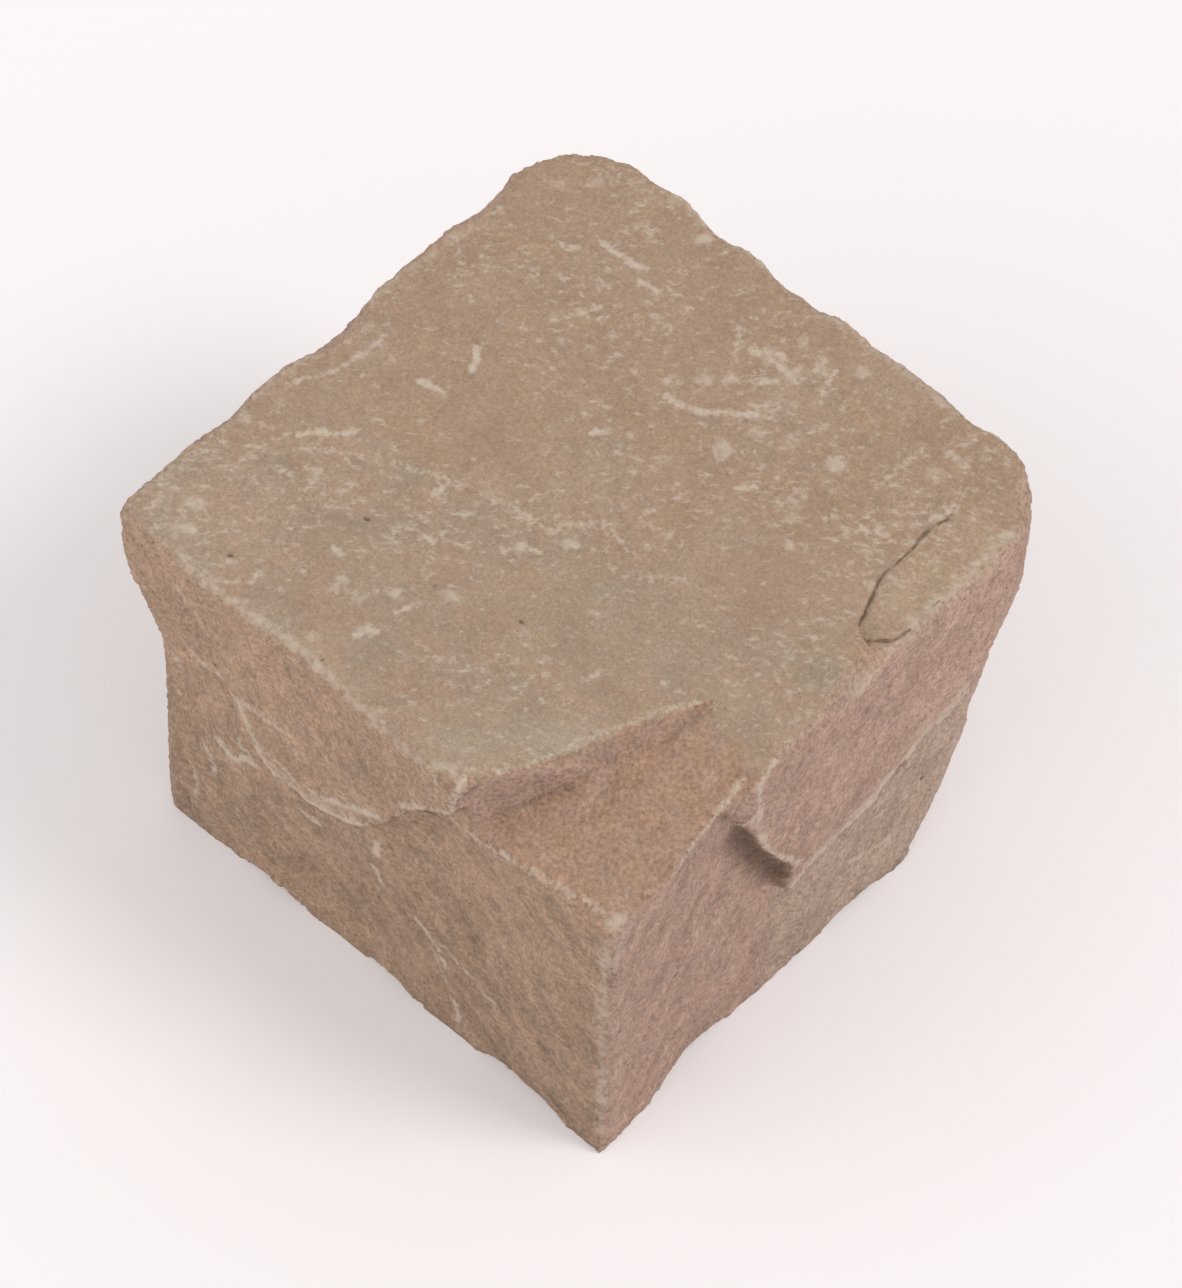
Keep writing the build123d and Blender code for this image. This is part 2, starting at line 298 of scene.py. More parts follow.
FRONT_LINES = (
    Mark(Look.PALE, ((-39.9, -48.2, 48.0), (-33.1, -49.2, 49.9), (-30.5, -50.5, 51.5), (-27.7, -51.8, 53.6),
                     (-21.7, -51.8, 54.3), (-16.4, -51.9, 55.7)), 1.0, 0.3, fade=2.2),
    Mark(Look.PALE, ((-26.0, -51.8, 52.8), (-24.3, -51.8, 48.9), (-21.7, -51.8, 43.0), (-20.1, -51.9, 40.8),
                     (-15.6, -51.9, 40.3), (-11.0, -52.0, 41.0), (-6.3, -52.0, 42.9), (2.0, -52.1, 48.0)),
         1.1, 0.25, fade=2.1),
    Mark(Look.PALE, ((-33.8, -48.8, 30.7), (-31.7, -49.2, 30.0), (-29.4, -49.3, 30.5), (-27.1, -49.4, 33.0),
                     (-25.2, -49.4, 33.3)), 1.3, 0.3),
    Mark(Look.PALE, ((-15.7, -49.3, 30.7), (-14.3, -49.1, 29.4), (-12.2, -49.0, 29.8)), 1.1, 0.2),
    Mark(Look.PALE, ((-7.6, -52.0, 45.6), (-1.2, -52.1, 49.7), (4.3, -52.2, 53.3)), 1.1, 0.2),
    Mark(Look.PALE, ((-30.4, -49.4, 38.4), (-28.2, -49.6, 35.0), (-23.0, -50.6, 33.6),
                     (-17.5, -51.2, 35.2)), 1.0),
    Mark(Look.PALE, ((-19.0, -51.9, 44.6), (-14.6, -51.9, 43.4), (-9.5, -52.0, 45.0)), 0.95),
    Mark(Look.PALE, ((-36.4, -49.0, 26.0), (-34.6, -49.2, 22.5), (-35.4, -49.2, 19.0)), 0.95),
    Mark(Look.PALE, ((9.3, -52.2, 62.1), (15.8, -52.3, 68.3), (20.2, -52.4, 71.6)), 1.0, 0.2),
    Mark(Look.PALE, ((20.6, -49.7, 79.8), (20.8, -51.6, 77.2), (20.2, -52.4, 72.3)), 1.0),
    Mark(Look.PALE, ((16.7, -52.3, 78.5), (17.2, -52.3, 73.0)), 0.8),
    Mark(Look.PALE, ((17.4, -49.6, 64.0), (23.8, -49.6, 64.6), (33.5, -49.2, 66.8), (44.7, -47.1, 67.4),
                     (50.4, -47.3, 67.9)), 0.84),
    Mark(Look.PALE, ((0.9, -49.4, 38.8), (0.8, -49.4, 35.3)), 1.2),
    Mark(Look.PALE, ((0.1, -49.3, 30.8), (1.5, -49.1, 28.5)), 1.05),
    Mark(Look.PALE, ((9.6, -49.3, 27.0), (14.0, -49.3, 22.4), (15.4, -49.3, 18.0)), 0.95),
    Mark(Look.PALE, ((15.7, -49.3, 24.5), (20.2, -49.3, 21.4), (25.7, -49.3, 20.1)), 0.85),
    Mark(Look.PALE, ((17.3, -49.2, 10.4), (18.2, -49.2, 5.0)), 1.05),
    Mark(Look.PALE, ((-39.2, -49.3, 17.1), (-38.9, -49.2, 11.1), (-40.2, -49.2, 3.4)), 0.82),
    Mark(Look.PALE, ((-38.8, -51.6, 71.4), (-36.9, -51.7, 68.5)), 0.88),
    Mark(Look.PALE, ((-44.8, -47.6, 42.1), (-43.3, -47.6, 39.3)), 0.85),
    Mark(Look.PALE, ((-44.1, -47.8, 33.0), (-42.1, -48.3, 29.5)), 0.82),
)
RIGHT_LINES = (
    Mark(Look.PALE, ((51.0, -9.0, 33.6), (51.0, -3.0, 34.8), (51.0, 5.0, 37.0), (51.0, 12.5, 39.9),
                     (51.1, 18.0, 43.0), (51.2, 24.0, 44.6), (51.2, 30.5, 46.6)), 1.12, 0.25),
    Mark(Look.PALE, ((51.1, 17.6, 44.4), (51.2, 20.0, 46.0), (51.3, 21.8, 48.6)), 0.82),
    Mark(Look.PALE, ((49.1, 22.3, 35.5), (48.9, 18.4, 32.5)), 0.84),
    Mark(Look.PALE, ((47.7, 17.1, 23.4), (48.4, 11.9, 26.5)), 0.82),
    Mark(Look.PALE, ((47.6, 9.6, 17.0), (47.4, 11.8, 15.6)), 1.0),
    Mark(Look.PALE, ((47.2, 13.5, 14.1), (46.9, 16.2, 13.3), (46.7, 19.1, 11.9)), 0.9),
    Mark(Look.PALE, ((50.7, -20.6, 66.3), (51.9, -20.0, 66.8), (51.9, -17.7, 66.0)), 0.98),
    Mark(Look.PALE, ((52.1, -14.5, 78.6), (52.3, -18.0, 75.6), (52.0, -17.6, 69.6), (51.9, -17.3, 64.8)),
         1.0),
    Mark(Look.PALE, ((51.7, -16.7, 59.2), (51.3, -14.1, 51.0), (51.2, -10.2, 44.6), (51.0, -6.4, 38.6)),
         1.05),
    Mark(Look.PALE, ((51.1, -34.4, 69.9), (50.9, -30.1, 72.6), (50.3, -27.3, 73.4), (50.1, -23.7, 74.5),
                     (49.6, -19.0, 76.4)), 0.88),
    Mark(Look.PALE, ((52.2, 25.6, 72.7), (51.7, 24.0, 68.7)), 0.84),
)
TREAD_LINES = tuple(
    Mark(Look.PALE, on_tread(*line), strength + 0.12, fade=1.6)
    for strength, *line in (
        (1.0, (-32.0, 36.2), (-27.6, 36.5), (-23.9, 37.1)),
        (0.8, (-39.0, 31.4), (-35.9, 31.8), (-34.3, 33.0)),
        (0.8, (-23.4, 34.9), (-19.1, 35.4)),
        (0.85, (-26.2, 23.0), (-24.1, 27.3)),
        (0.95, (-3.4, 37.3), (-0.9, 37.4), (0.8, 39.0), (2.7, 39.9)),
        (0.95, (1.6, 38.2), (3.9, 38.1), (6.3, 37.8), (8.3, 38.4)),
        (0.9, (3.4, 34.0), (5.2, 36.1)),
        (0.9, (12.0, 39.3), (10.8, 42.1), (10.7, 43.6)),
        (0.95, (-5.7, 22.1), (-2.9, 22.5), (0.2, 23.5), (3.2, 26.0), (7.0, 29.0)),
        (0.74, (-5.8, 39.3), (-3.8, 36.3), (-1.0, 32.4), (0.8, 29.9)),
        (1.0, (14.2, 17.2), (16.1, 19.3)),
        (0.9, (33.6, 44.5), (37.0, 44.5)),
        (0.74, (29.9, 32.9), (30.0, 38.5), (30.1, 42.7)),
        (0.92, (-8.8, 9.1), (-7.1, 11.0)),
        (0.85, (8.0, 5.4), (7.3, 3.9)),
        (0.85, (39.9, 33.5), (41.2, 36.3), (41.3, 38.3)),
        (0.95, (33.3, 24.9), (36.8, 26.9)),
        (1.1, (-32.8, 8.5), (-31.0, 6.7), (-30.4, 4.6)),
        (1.0, (-34.4, -2.1), (-30.7, -1.2)),
        (1.0, (-41.1, -22.2), (-39.2, -19.4), (-37.9, -18.8), (-35.3, -16.0)),
        (0.95, (-18.6, -15.7), (-18.3, -14.1)),
        (0.82, (-14.7, -22.5), (-12.5, -22.0)),
        (0.85, (-22.8, -33.5), (-20.9, -33.3)),
        (0.85, (-7.5, -35.4), (-6.3, -32.0)),
        (0.98, (-9.1, -42.7), (-8.6, -41.2), (-7.4, -39.8)),
        (0.95, (-27.5, -46.7), (-27.6, -44.6)),
        (0.82, (-3.8, -15.8), (-2.4, -13.9), (0.6, -12.0)),
        (0.8, (-49.1, -16.8), (-46.8, -13.0), (-45.1, -9.2), (-44.3, -0.2)),
        (0.78, (18.4, -49.9), (20.6, -47.2), (24.9, -44.3), (28.7, -33.1), (33.7, -20.4), (36.7, -15.2)),
    )
)
LAMINA_LINES = (
    Mark(Look.PALE, on_tread((-39.2, -23.6), (-29.6, -16.9), (-22.1, -13.5), (-13.1, -10.3), (-0.4, -8.1)),
         0.74, fade=2.3),
    Mark(Look.PALE, on_tread((-0.4, -8.1), (0.1, -5.9), (4.0, -1.6), (10.0, -2.3)), 0.8, fade=2.3),
    Mark(Look.PALE, on_tread((10.0, -2.3), (14.9, -4.7), (19.0, -1.6), (26.0, 1.6)), 0.7, fade=2.3),
)
BRUISES = (
    Mark(Look.BRUISE, ((50.9, -8.5, 34.4), (50.9, 4.0, 37.6), (51.0, 12.5, 40.8), (51.1, 20.0, 44.8),
                       (51.2, 30.5, 48.0)), 1.05, fade=2.8),
    Mark(Look.BRUISE, ((48.6, 14.0, 30.0), (48.2, 17.0, 28.0)), 0.9, fade=2.6),
    Mark(Look.BRUISE, ((48.0, 6.0, 24.0), (47.6, 9.0, 21.0)), 0.85, fade=2.4),
    Mark(Look.BRUISE, ((-31.0, -49.4, 34.0), (-28.6, -49.8, 31.0), (-33.0, -49.2, 26.0)), 0.75, fade=3.0),
    Mark(Look.BRUISE, ((12.0, -49.3, 22.0), (17.5, -49.3, 12.0)), 0.7, fade=3.0),
    Mark(Look.BRUISE, ((-24.3, -51.8, 48.9), (-20.6, -51.9, 42.0), (-11.0, -52.0, 42.0), (-3.0, -52.1, 46.0),
                       (4.3, -52.2, 53.3)), 0.85, fade=2.8),
    Mark(Look.BRUISE, ((-38.0, -51.4, 79.5), (-28.0, -51.7, 79.4), (-20.8, -50.7, 79.9),
                       (-12.2, -50.5, 79.9), (-4.5, -51.0, 79.9), (4.5, -51.2, 78.7), (12.6, -52.2, 78.5),
                       (18.4, -49.9, 79.8)), 0.92),
    Mark(Look.BRUISE, on_tread((18.4, -49.6), (23.2, -45.0), (26.0, -38.9), (31.5, -26.8)), 0.6, fade=2.4),
    Mark(Look.BRUISE, ((50.3, 41.0, 79.0), (51.0, 31.5, 79.0), (50.7, 23.3, 79.0), (50.6, 19.6, 79.0),
                       (52.0, 12.0, 78.1), (52.2, 4.0, 75.5)), 0.86, fade=3.6),
    Mark(Look.BRUISE, on_tread((-50.5, -40.0), (-47.0, -45.5), (-40.0, -50.5)), 0.7, fade=3.6),
    Mark(Look.BRUISE, ((50.2, -46.6, 67.6), (49.7, -48.6, 57.0)), 1.3, fade=3.8),
    Mark(Look.BRUISE, ((49.6, -49.0, 56.0), (49.1, -49.3, 30.0), (49.0, -49.3, 6.0)), 0.85, fade=3.2),
    Mark(Look.BRUISE, on_tread((-46.0, 38.0), (-38.0, 47.0), (-20.0, 50.5), (6.0, 51.0), (30.0, 51.0)), 0.8,
         fade=2.4),
    Mark(Look.BRUISE, on_tread((-51.0, -30.0), (-51.0, -10.0), (-50.5, 10.0), (-48.0, 30.0)), 0.75,
         fade=2.4),
    Mark(Look.BRUISE, ((51.6, -17.5, 64.0), (51.3, -13.5, 50.0)), 0.8, fade=2.2),
)
PALE_SPOTS = tuple(
    Mark(Look.BRUISE, on_tread((x, y)), 1.3, fade=radius)
    for x, y, radius in (
        (8.0, 20.9, 3.3), (22.3, 31.1, 3.2), (22.0, 22.1, 3.0), (24.8, 19.3, 2.2), (34.8, 39.8, 2.6),
        (41.0, 17.6, 2.2), (42.7, 9.3, 2.6), (29.9, 13.6, 2.6), (32.7, 11.5, 1.8), (27.0, 15.0, 1.8),
        (-13.9, -37.5, 2.6), (-3.8, -27.4, 2.6), (-10.0, -33.1, 2.0), (-17.8, -36.7, 2.2),
        (-18.1, -39.2, 1.4), (-8.9, -40.9, 2.2), (-13.9, -47.3, 1.7), (-7.0, 24.5, 2.2),
        (-3.0, 28.3, 2.4), (-0.5, 31.3, 2.4),
        (0.8, 38.6, 2.8), (5.5, 38.6, 3.0), (8.9, 42.1, 2.4), (13.5, 46.0, 2.6), (3.3, 44.1, 2.2),
        (7.4, 43.7, 2.2), (14.2, 29.8, 2.6), (9.1, 26.8, 2.2), (-27.9, 42.4, 1.8), (-21.4, 47.6, 2.6),
        (-16.3, 27.6, 1.4), (-21.4, 22.3, 1.4), (-9.2, 23.0, 1.8), (-4.8, 13.2, 1.6), (-9.5, 4.2, 1.5),
        (-9.6, 1.5, 1.5), (12.5, 3.4, 1.8), (12.0, -0.3, 1.6), (-32.4, -46.6, 1.6), (-43.8, -42.4, 2.6),
        (-41.2, -46.4, 2.4), (-49.6, -26.1, 2.2), (2.8, -7.9, 2.4), (-34.8, -25.2, 2.6), (-2.4, -13.6, 2.4),
        (21.8, -22.4, 1.7), (31.0, -16.7, 1.8),
    )
)
MARKS = (*CRACKS, *PITS, *FRONT_LINES, *RIGHT_LINES, *TREAD_LINES, *LAMINA_LINES, *BRUISES, *PALE_SPOTS)


@dataclass(frozen=True)
class Strikes:
    """One round of small chips knocked off the sharpest edges.

    Attributes:
        count: How many chips there are.
        radius: Least and greatest radius of the ball that each chip is a part of.
        bite: Least and greatest depth of a chip.
        apart: How far apart two chips are at least.
        lean: How far a chip may lean to either side of its edge.
        seed: The seed of this round's random draws.
    """

    count: int
    radius: tuple[float, float]
    bite: tuple[float, float]
    apart: float
    lean: float
    seed: int


class Draft:
    """A node tree while it is being drawn up.

    Attributes:
        tree: The node tree.
    """

    def __init__(self, tree: bpy.types.NodeTree) -> None:
        """Takes a node tree and clears it.

        Args:
            tree: The tree to fill.
        """
        self.tree = tree
        tree.nodes.clear()

    def node(self, kind: str, inputs: dict | None = None, **settings: object) -> bpy.types.Node:
        """Adds a node.

        Args:
            kind: The node's type.
            inputs: For each socket, by name or number, a value or the socket that feeds it.
            **settings: Properties of the node.

        Returns:
            The new node.
        """
        made = self.tree.nodes.new(kind)
        for name, value in settings.items():
            setattr(made, name, value)
        for name, value in (inputs or {}).items():
            if isinstance(value, bpy.types.NodeSocket):
                self.tree.links.new(value, made.inputs[name])
            else:
                made.inputs[name].default_value = value
        return made

    def math(self, operation: str, *values: object, clamp: bool = False) -> bpy.types.NodeSocket:
        """Works out a number from one to three numbers."""
        inputs = dict(enumerate(values))
        return self.node("ShaderNodeMath", inputs, operation=operation, use_clamp=clamp).outputs[0]

    def scaled(self, vector: bpy.types.NodeSocket, scale: object) -> bpy.types.NodeSocket:
        """Multiplies a vector by a number."""
        return self.node("ShaderNodeVectorMath", {0: vector, "Scale": scale}, operation="SCALE").outputs[0]

    def noise(self, place: bpy.types.NodeSocket, size: float, detail: float = 3.0,
              rough: float = 0.5) -> bpy.types.NodeSocket:
        """Noise whose largest waves are size wide."""
        inputs = {"Vector": place, "Scale": 1.0 / size, "Detail": detail, "Roughness": rough}
        return self.node("ShaderNodeTexNoise", inputs).outputs[0]

    def ramp(self, value: object, low: float, high: float, start: float = 0.0,
             end: float = 1.0) -> bpy.types.NodeSocket:
        """Eases a number from start, at low, to end, at high."""
        inputs = {0: value, 1: low, 2: high, 3: start, 4: end}
        return self.node("ShaderNodeMapRange", inputs, interpolation_type="SMOOTHSTEP").outputs[0]

    def mix(self, share: object, first: object, second: object, blend: str = "MIX") -> bpy.types.NodeSocket:
        """Mixes two colours by a share."""
        inputs = {0: share, 6: first, 7: second}
        made = self.node("ShaderNodeMix", inputs, data_type="RGBA", blend_type=blend, clamp_result=False)
        return made.outputs[2]

    def attribute(self, name: str) -> list[bpy.types.NodeSocket]:
        """The three numbers of a vector attribute."""
        source = self.node("ShaderNodeAttribute", attribute_name=name)
        return list(self.node("ShaderNodeSeparateXYZ", {0: source.outputs["Vector"]}).outputs)


@dataclass(frozen=True)
class SandstoneFinish:
    """The split sandstone: its colours, grain, flecks, bruises and roughness."""

    tan: Colour = linear(171, 147, 126)
    pink: Colour = linear(170, 144, 122)
    grey: Colour = linear(168, 146, 126)
    rusty: Colour = linear(173, 142, 122)
    # The right side's purple, the front's brown and the right foot's colour are their own hues, made lighter
    # than the tread's colours as painted light that lifts the sides.
    purple: Colour = linear(179, 150, 135)
    brown: Colour = linear(179, 151, 129)
    foot: Colour = linear(177, 155, 139)
    bruise: Colour = linear(208, 191, 174)
    fleck: Colour = linear(204, 188, 172)
    speck: Colour = linear(112, 92, 76)
    crack: Colour = linear(92, 76, 60)
    grain_size: float = 0.75
    fine_size: float = 0.32
    spot_size: float = 1.1
    patch_size: float = 1.9
    spot_turn: float = 40.0
    spot_stretch: float = 1.5
    bump_depth: float = 0.25
    roughness: float = 0.88

    def spots(self, draft: Draft, place: bpy.types.NodeSocket) -> bpy.types.NodeSocket:
        """Makes the uneven noise that pale flecks and dark specks are cut from.

        Args:
            draft: The material's node tree.
            place: The place on the stone, in millimetres.

        Returns:
            A number of about 0.2 to 0.8, drawn out along one diagonal of the tread.
        """
        turned = draft.node("ShaderNodeMapping", {
            "Vector": place, "Rotation": (0.0, 0.0, math.radians(self.spot_turn)),
            "Scale": (self.spot_stretch, 1.0, 1.0),
        }, vector_type="TEXTURE").outputs[0]
        return draft.noise(turned, self.spot_size, 3.0, 0.62)

    def material(self) -> bpy.types.Material:
        """Makes the stone's material.

        Returns:
            The material, which reads the place on the stone and the stone's attributes.
        """
        stone = bpy.data.materials.new("split sandstone")
        stone.use_nodes = True
        draft = Draft(stone.node_tree)
        source = draft.node("ShaderNodeTexCoord").outputs["Object"]
        place = draft.scaled(source, 1.0 / MM)
        # The ground attribute is the stone's colour with painted light and shade baked in.
        ground = draft.node("ShaderNodeAttribute", attribute_name="ground").outputs["Vector"]
        pale, dark, bruise = draft.attribute("marks")
        worn, busy, side = draft.attribute("wear")

        grain = draft.noise(place, self.grain_size, 2.0, 0.65)
        fine = draft.noise(place, self.fine_size, 1.0, 0.7)
        contrast = draft.math("MULTIPLY_ADD", side, 0.8, 0.6)
        light = draft.math("MULTIPLY", draft.math("SUBTRACT", grain, 0.5), contrast)
        light = draft.math("ADD", light, draft.math("MULTIPLY_ADD", fine, 0.6, 0.7))
        colour = draft.scaled(ground, light)

        uneven = self.spots(draft, place)
        flecks = draft.ramp(draft.math("MULTIPLY_ADD", busy, 0.06, uneven), 0.54, 0.78)
        flecks = draft.math("MULTIPLY", flecks, draft.math("MULTIPLY_ADD", side, -0.5, 0.78))
        colour = draft.mix(flecks, colour, self.fleck)
        specks = draft.math("MULTIPLY", draft.ramp(uneven, 0.37, 0.22), 0.25)
        colour = draft.mix(specks, colour, self.speck)

        patches = draft.math("SUBTRACT", draft.noise(place, self.patch_size, 4.0, 0.68), 0.5)
        rough = draft.math("SUBTRACT", grain, 0.5)
        broken = draft.math("MULTIPLY_ADD", worn, 0.75, bruise)
        broken = draft.math("MULTIPLY_ADD", patches, 2.2, broken)
        bruised = draft.math("MULTIPLY", draft.ramp(broken, 0.35, 1.2), 0.68)
        crisp = draft.math("MULTIPLY_ADD", rough, 0.7, pale)
        crisp = draft.math("MULTIPLY_ADD", patches, 1.2, crisp)
        lines = draft.math("MULTIPLY", draft.ramp(crisp, 0.45, 1.1), 0.88)
        colour = draft.mix(draft.math("MAXIMUM", bruised, lines), colour, self.bruise)
        sunk = draft.ramp(draft.math("MULTIPLY_ADD", rough, 0.3, dark), 0.6, 0.82)
        colour = draft.mix(draft.math("MULTIPLY", sunk, 0.75), colour, self.crack)

        height = draft.math("MULTIPLY_ADD", grain, 0.6, draft.math("MULTIPLY", fine, 0.4))
        bump = draft.node("ShaderNodeBump", {
            "Strength": 0.6, "Distance": self.bump_depth * MM, "Height": height,
        })
        shader = draft.node("ShaderNodeBsdfPrincipled", {
            "Base Color": colour, "Roughness": self.roughness, "Specular IOR Level": 0.2,
            "Normal": bump.outputs[0],
        })
        draft.node("ShaderNodeOutputMaterial", {0: shader.outputs[0]})
        return stone


class Skin:
    """The stone's surface as arrays, while it is being worked.

    Attributes:
        mesh: The mesh that the arrays came from.
        points: One row of coordinates for each vertex.
        rest: The points as they were before any work, which marks are placed by.
        edges: The numbers of the two vertices of each edge.
        degree: How many edges each vertex has.
        normals: One row for each vertex, pointing out of the stone.
    """

    def __init__(self, mesh: bpy.types.Mesh) -> None:
        """Reads the mesh's vertices and edges.

        Args:
            mesh: The closed mesh to work on, in metres.
        """
        self.mesh = mesh
        count = len(mesh.vertices)
        flat = np.empty(count * 3, np.float32)
        mesh.vertices.foreach_get("co", flat)
        self.points = flat.reshape(-1, 3).astype(float) / MM
        self.rest = self.points.copy()
        ends = np.empty(len(mesh.edges) * 2, np.int32)
        mesh.edges.foreach_get("vertices", ends)
        self.edges = ends.reshape(-1, 2)
        self.degree = np.bincount(ends, minlength=count).astype(float)
        self.normals = np.zeros_like(self.points)
        self.refresh()

    def refresh(self) -> None:
        """Writes the points to the mesh and reads its normals again."""
        self.mesh.vertices.foreach_set("co", (self.points * MM).astype(np.float32).ravel())
        self.mesh.update()
        flat = np.empty(len(self.points) * 3, np.float32)
        self.mesh.vertex_normals.foreach_get("vector", flat)
        self.normals = flat.reshape(-1, 3).astype(float)

    def blurred(self, values: np.ndarray, passes: int) -> np.ndarray:
        """Averages values over each vertex's neighbours, again and again.

        Args:
            values: One row for each vertex.
            passes: How many times to average.

        Returns:
            The averaged rows.
        """
        start, end = self.edges[:, 0], self.edges[:, 1]
        count = len(self.points)
        for _ in range(passes):
            columns = []
            for column in values.reshape(count, -1).T:
                total = np.bincount(start, column[end], count) + np.bincount(end, column[start], count)
                columns.append(0.5 * column + 0.5 * total / self.degree)
            values = np.stack(columns, axis=1)
        return values

    def sharpness(self, passes: int) -> np.ndarray:
        """Measures how far each vertex stands out from its blurred surroundings, in millimetres."""
        return ((self.points - self.blurred(self.points, passes)) * self.normals).sum(axis=1)

    def push(self, heights: np.ndarray) -> None:
        """Moves each vertex along its normal by its own height."""
        self.points += self.normals * heights[:, None]

    def wear_down(self, edge: WornEdge) -> None:
        """Rounds one edge.

        Args:
            edge: The edge, and how far its rounding runs out.
        """
        mark = Mark(Look.PALE, edge.line, fade=edge.reach)
        near, away = mark.near(self.rest)
        share = (1.0 - smooth_ramp(away, edge.reach * edge.core, edge.reach))[:, None]
        soft = self.blurred(self.points, edge.passes)[near]
        self.points[near] = self.points[near] * (1.0 - share) + soft * share
        self.refresh()

    def strike(self, spot: np.ndarray, out: np.ndarray, radius: float, bite: float) -> None:
        """Bites a shallow hollow out of the surface, as part of a ball.

        Args:
            spot: The point of the surface where the hollow is deepest.
            out: The direction out of the stone there.
            radius: The ball's radius.
            bite: How deep the hollow is.
        """
        middle = spot + out * (radius - bite)
        offset = self.points - middle
        away = np.linalg.norm(offset, axis=1)
        inside = (away < radius) & ((offset * self.normals).sum(axis=1) < 0.0)
        self.points[inside] = middle + offset[inside] * (radius / away[inside])[:, None]


@dataclass
class SplitSett:
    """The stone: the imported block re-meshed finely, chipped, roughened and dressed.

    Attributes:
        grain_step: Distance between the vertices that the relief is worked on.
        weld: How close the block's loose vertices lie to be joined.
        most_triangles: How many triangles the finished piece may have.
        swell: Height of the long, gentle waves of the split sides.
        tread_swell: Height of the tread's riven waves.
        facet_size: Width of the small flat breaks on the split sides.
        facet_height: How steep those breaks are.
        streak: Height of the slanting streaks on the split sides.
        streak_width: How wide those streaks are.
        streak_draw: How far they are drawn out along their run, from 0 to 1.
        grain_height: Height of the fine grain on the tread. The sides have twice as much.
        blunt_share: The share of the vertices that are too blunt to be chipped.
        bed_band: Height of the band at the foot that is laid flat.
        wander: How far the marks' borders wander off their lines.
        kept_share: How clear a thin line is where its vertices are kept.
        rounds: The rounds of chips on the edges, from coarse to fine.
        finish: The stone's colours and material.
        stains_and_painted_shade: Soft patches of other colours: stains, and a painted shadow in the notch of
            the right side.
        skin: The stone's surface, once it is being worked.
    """

    grain_step: float = 0.5
    quick_step: float = 0.9
    weld: float = 0.005
    most_triangles: int = 190_000
    swell: float = 0.45
    tread_swell: float = 0.3
    facet_size: float = 9.0
    facet_height: float = 0.07
    streak: float = 0.16
    streak_width: float = 2.4
    streak_draw: float = 0.8
    grain_height: float = 0.05
    blunt_share: float = 0.972
    bed_band: float = 0.6
    wander: float = 0.3
    kept_share: float = 0.1
    rounds: tuple[Strikes, ...] = (
        Strikes(130, (2.5, 5.5), (0.2, 0.4), 3.4, 0.2, 12),
        Strikes(500, (1.0, 2.2), (0.1, 0.28), 1.2, 0.4, 13),
    )
    finish: SandstoneFinish = SandstoneFinish()
    stains_and_painted_shade: tuple[StainOrShade, ...] = (
        StainOrShade(((45.0, 0.0, 79.0), (48.0, 4.0, 78.0)), 6.0, linear(158, 146, 124), 0.4),
        StainOrShade(((49.0, 8.4, 78.8), (50.4, 10.0, 78.3)), 4.0, linear(178, 146, 120), 0.6),
        StainOrShade(((45.5, 20.0, 79.6), (46.5, 36.0, 79.6)), 6.0, linear(182, 157, 132), 0.6),
        StainOrShade(((-46.0, -43.0, 80.0), (-38.0, -41.0, 80.0)), 12.0, linear(180, 157, 137), 0.45),
        StainOrShade(((16.0, -46.0, 79.8), (27.0, -32.0, 79.8)), 6.0, linear(176, 161, 142), 0.5),
        # Painted shadow: a dark patch laid into the notch of the right side, kept inside the hollow, where
        # the proud block above it shades it.
        StainOrShade(((49.7, -20.3, 62.9), (48.6, -14.5, 48.8), (48.0, -9.8, 37.0)), 5.5, linear(112, 91, 76), 0.85,
              50.6),
    )
    skin: Skin | None = field(default=None, repr=False)

    def build(self) -> bpy.types.Object:
        """Makes the finished stone.

        Returns:
            The stone's object, at the origin, with its finish on it.
        """
        mesh = self.remeshed(self.copied_block())
        self.skin = Skin(mesh)
        for edge in WORN_EDGES:
            self.skin.wear_down(edge)
        self.bend_sides()
        self.chip_edges()
        self.draw_marks()
        streaks = self.grain()
        self.seat()
        kept = self.paint(streaks)
        stone = self.thinned(mesh, kept)
        stone.data.materials.append(self.finish.material())
        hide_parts(STONE)
        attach(stone, BODY)
        LOG.info("%s has %d faces", stone.name, len(stone.data.polygons))
        return stone

    def copied_block(self) -> bpy.types.Object:
        """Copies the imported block's mesh and closes its loose triangles."""
        work = bmesh.new()
        work.from_mesh(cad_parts[STONE].data)
        bmesh.ops.remove_doubles(work, verts=work.verts, dist=self.weld * MM)
        bmesh.ops.recalc_face_normals(work, faces=work.faces)
        mesh = bpy.data.meshes.new("block_copy")
        work.to_mesh(mesh)
        work.free()
        block = bpy.data.objects.new("block_copy", mesh)
        bpy.context.scene.collection.objects.link(block)
        return block

    def evaluated(self, block: bpy.types.Object) -> bpy.types.Mesh:
        """Applies an object's modifiers and removes the object.

        Args:
            block: An object whose modifiers make the mesh that is wanted.

        Returns:
            The mesh with its modifiers applied.
        """
        depsgraph = bpy.context.evaluated_depsgraph_get()
        depsgraph.update()
        mesh = bpy.data.meshes.new_from_object(block.evaluated_get(depsgraph))
        bpy.data.objects.remove(block)
        return mesh

    def remeshed(self, block: bpy.types.Object) -> bpy.types.Mesh:
        """Covers the block with an even net of small squares."""
        remesh = block.modifiers.new("even net", "REMESH")
        remesh.mode = "VOXEL"
        remesh.voxel_size = self.grain_step * MM
        return self.evaluated(block)

